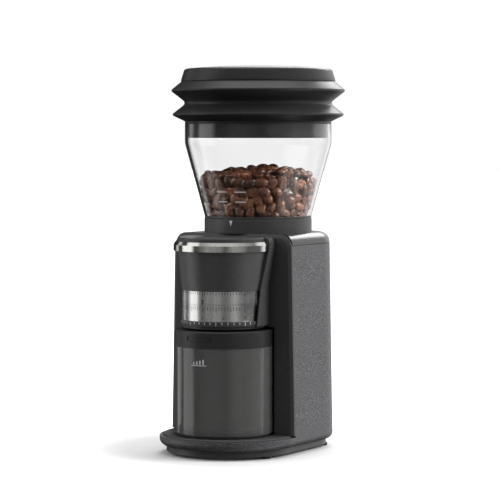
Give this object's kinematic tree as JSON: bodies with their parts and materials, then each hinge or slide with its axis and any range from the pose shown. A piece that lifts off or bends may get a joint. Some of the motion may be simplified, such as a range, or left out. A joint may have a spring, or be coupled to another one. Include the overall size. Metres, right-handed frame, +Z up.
{
  "type": "burr coffee grinder",
  "caption": "Electric conical burr coffee grinder with a clear taper hopper, bellows lid, ringed adjustment dial on its round head, smoked grounds cup and rounded base.",
  "frame": {"origin": "on the table under the middle of the whole object's box", "axes": "+Z up; the front with the dial and cup faces -Y; +X is on the right of someone facing the front"},
  "size_m": [0.1488, 0.1813, 0.3276],
  "materials": {
    "grey_shell": "fine sparkle texture",
    "shoulder_black": "satin gloss",
    "panel_black": "smooth satin",
    "cone_satin": "fine satin texture",
    "chrome": "polished",
    "scale_metal": "turned",
    "clear_window": "clear",
    "hopper_clear": "clear",
    "cup_smoke": "smoked clear",
    "cup_lid_black": "satin",
    "lid_rubber": "soft satin",
    "seal_rubber": "matt",
    "white_mark": "printed",
    "roasted_beans": "oily",
    "steel": "machined",
    "motor_zinc": "zinc plated",
    "gear_plastic": "acetal",
    "inner_plastic": "moulded",
    "circuit_board": "lacquered"
  },
  "bodies": {
    "housing": {"body_shell": "grey_shell", "top_cover": "shoulder_black", "front_panel": "panel_black", "recess_liner": "panel_black", "platform_deck": "panel_black", "base_plate": "panel_black", "rubber_feet": "seal_rubber", "base_screws": "steel", "hopper_collar": "panel_black", "collar_floor": "panel_black", "lock_mark": "white_mark", "head_housing": "panel_black", "chrome_trim": "chrome", "cone_cover": "cone_satin", "dial_window": "clear_window", "upper_scale": "scale_metal", "head_floor": "panel_black", "feed_throat": "inner_plastic", "bean_chute": "inner_plastic", "outlet_spout": "inner_plastic", "idler_pin": "steel", "gearbox_base": "inner_plastic", "gearbox_cover": "inner_plastic", "lower_bearing": "steel", "motor_can": "motor_zinc", "motor_screws": "steel", "cover_screws": "steel", "control_board": "circuit_board", "power_inlet": "inner_plastic", "switch_frame": "inner_plastic", "cup_sensor": "inner_plastic", "carrier_spring": "steel"},
    "dial": {"dial_scale": "scale_metal", "dial_grip": "panel_black"},
    "carrier": {"burr_carrier": "inner_plastic", "outer_burr": "steel"},
    "burr_drive": {"burr_shaft": "steel", "burr_gear": "gear_plastic", "inner_burr": "steel"},
    "idler": {"idler_gear": "gear_plastic"},
    "rotor": {"motor_shaft": "steel", "motor_pinion": "steel"},
    "rocker": {"power_rocker": "inner_plastic"},
    "plunger": {"cup_plunger": "inner_plastic"},
    "cup": {"cup_jar": "cup_smoke", "cup_lid": "cup_lid_black", "lid_badge": "cup_lid_black"},
    "hopper_ring": {"hopper_spigot": "panel_black", "hopper_seal": "seal_rubber"},
    "hopper": {"bean_gate": "panel_black", "hopper_foot": "panel_black", "hopper_glass": "hopper_clear", "coffee_beans": "roasted_beans"},
    "lid": {"lid_plug": "lid_rubber", "lid_bellows": "lid_rubber"},
    "lid_top": {"lid_cap": "lid_rubber"}
  },
  "joints": [
    {"name": "dial_turn", "type": "hinge", "parent": "housing", "child": "dial", "pos_m": [0, -0.0416, 0.118], "axis": [0, 0, 1], "range_deg": [0, 240]},
    {"name": "carrier_lift", "type": "slide", "parent": "housing", "child": "carrier", "axis": [0, 0, 1], "range_m": [0, 0.0015]},
    {"name": "burr_spin", "type": "hinge", "parent": "housing", "child": "burr_drive", "pos_m": [0, -0.0416, 0.14], "axis": [0, 0, 1], "continuous": true},
    {"name": "idler_spin", "type": "hinge", "parent": "housing", "child": "idler", "pos_m": [-0.01461, -0.0001, 0.172], "axis": [0, 0, 1], "continuous": true},
    {"name": "rotor_spin", "type": "hinge", "parent": "housing", "child": "rotor", "pos_m": [-0.02392, 0.02631, 0.13], "axis": [0, 0, 1], "continuous": true},
    {"name": "rocker_tip", "type": "hinge", "parent": "housing", "child": "rocker", "pos_m": [0, 0.0703, 0.062], "axis": [1, 0, 0], "range_deg": [-8, 8]},
    {"name": "plunger_push", "type": "slide", "parent": "housing", "child": "plunger", "axis": [0, 1, 0], "range_m": [0, 0.0025], "stiffness_N_per_m": 150},
    {"name": "cup_slide", "type": "slide", "parent": "housing", "child": "cup", "axis": [0, -1, 0], "range_m": [0, 0.12]},
    {"name": "hopper_lift", "type": "slide", "parent": "housing", "child": "hopper_ring", "axis": [0, 0, 1], "range_m": [0, 0.05]},
    {"name": "hopper_twist", "type": "hinge", "parent": "hopper_ring", "child": "hopper", "pos_m": [0, 0.0163, 0.2], "axis": [0, 0, 1], "range_deg": [0, 55]},
    {"name": "lid_lift", "type": "slide", "parent": "hopper", "child": "lid", "axis": [0, 0, 1], "range_m": [0, 0.04]},
    {"name": "bellows_press", "type": "slide", "parent": "lid", "child": "lid_top", "axis": [0, 0, -1], "range_m": [0, 0.012], "stiffness_N_per_m": 600, "deforming": ["lid_bellows"]}
  ],
  "couplings": [
    {"joint": "carrier_lift", "follows": "dial_turn", "m_per_rad": 0.00035774},
    {"joint": "idler_spin", "follows": "burr_spin", "ratio": -1.2},
    {"joint": "rotor_spin", "follows": "burr_spin", "ratio": 3}
  ]
}
